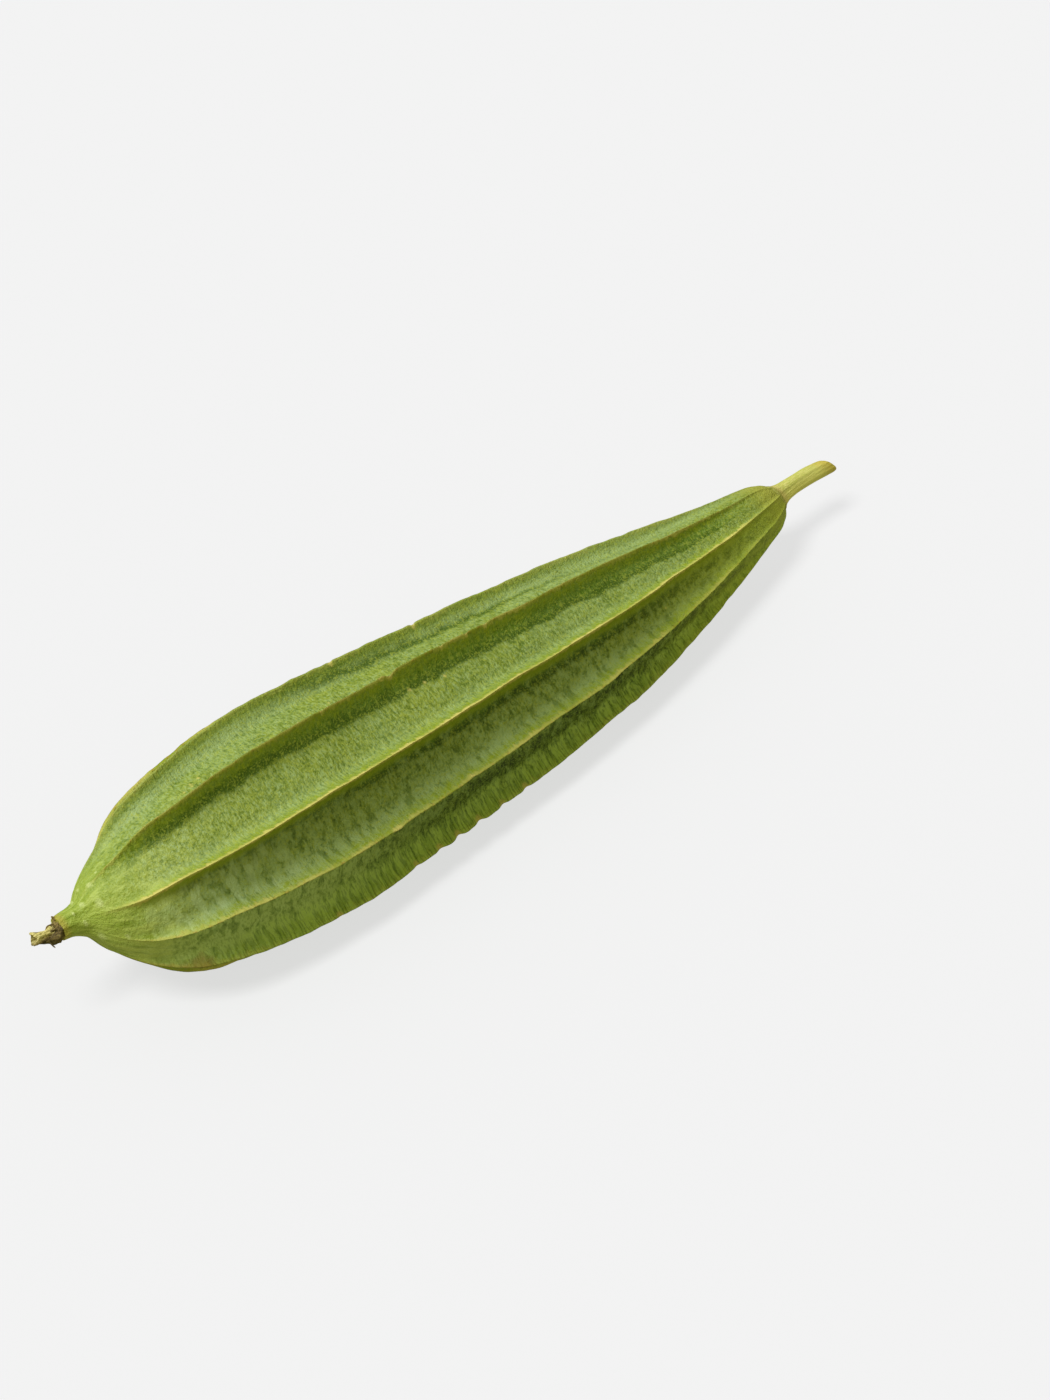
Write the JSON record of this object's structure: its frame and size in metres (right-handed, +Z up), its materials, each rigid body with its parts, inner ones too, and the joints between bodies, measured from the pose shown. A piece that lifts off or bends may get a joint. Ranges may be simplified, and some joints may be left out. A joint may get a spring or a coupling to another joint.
{
  "type": "ridge gourd",
  "caption": "Whole ridge gourd as picked: a club-shaped green fruit with sharp lengthwise ridges, a cut stalk and the dried remains of its flower, lying on its belly.",
  "frame": {"origin": "on the surface it lies on, under the middle of its bounding box", "axes": "+Z up; +X along the fruit from the dried flower to the cut stalk"},
  "size_m": [0.297, 0.0686, 0.0669],
  "materials": {
    "skin": "waxy satin green skin, yellower along the ridges",
    "stalk": "fibrous pale yellow-green, browner at the cut",
    "dry_style": "dry, matt, straw-coloured",
    "dry_calyx": "dry, matt, dark brown and crumpled"
  },
  "bodies": {
    "root": {"fruit": "skin", "stem": "stalk", "dried_style": "dry_style", "dried_calyx": "dry_calyx"}
  },
  "joints": []
}
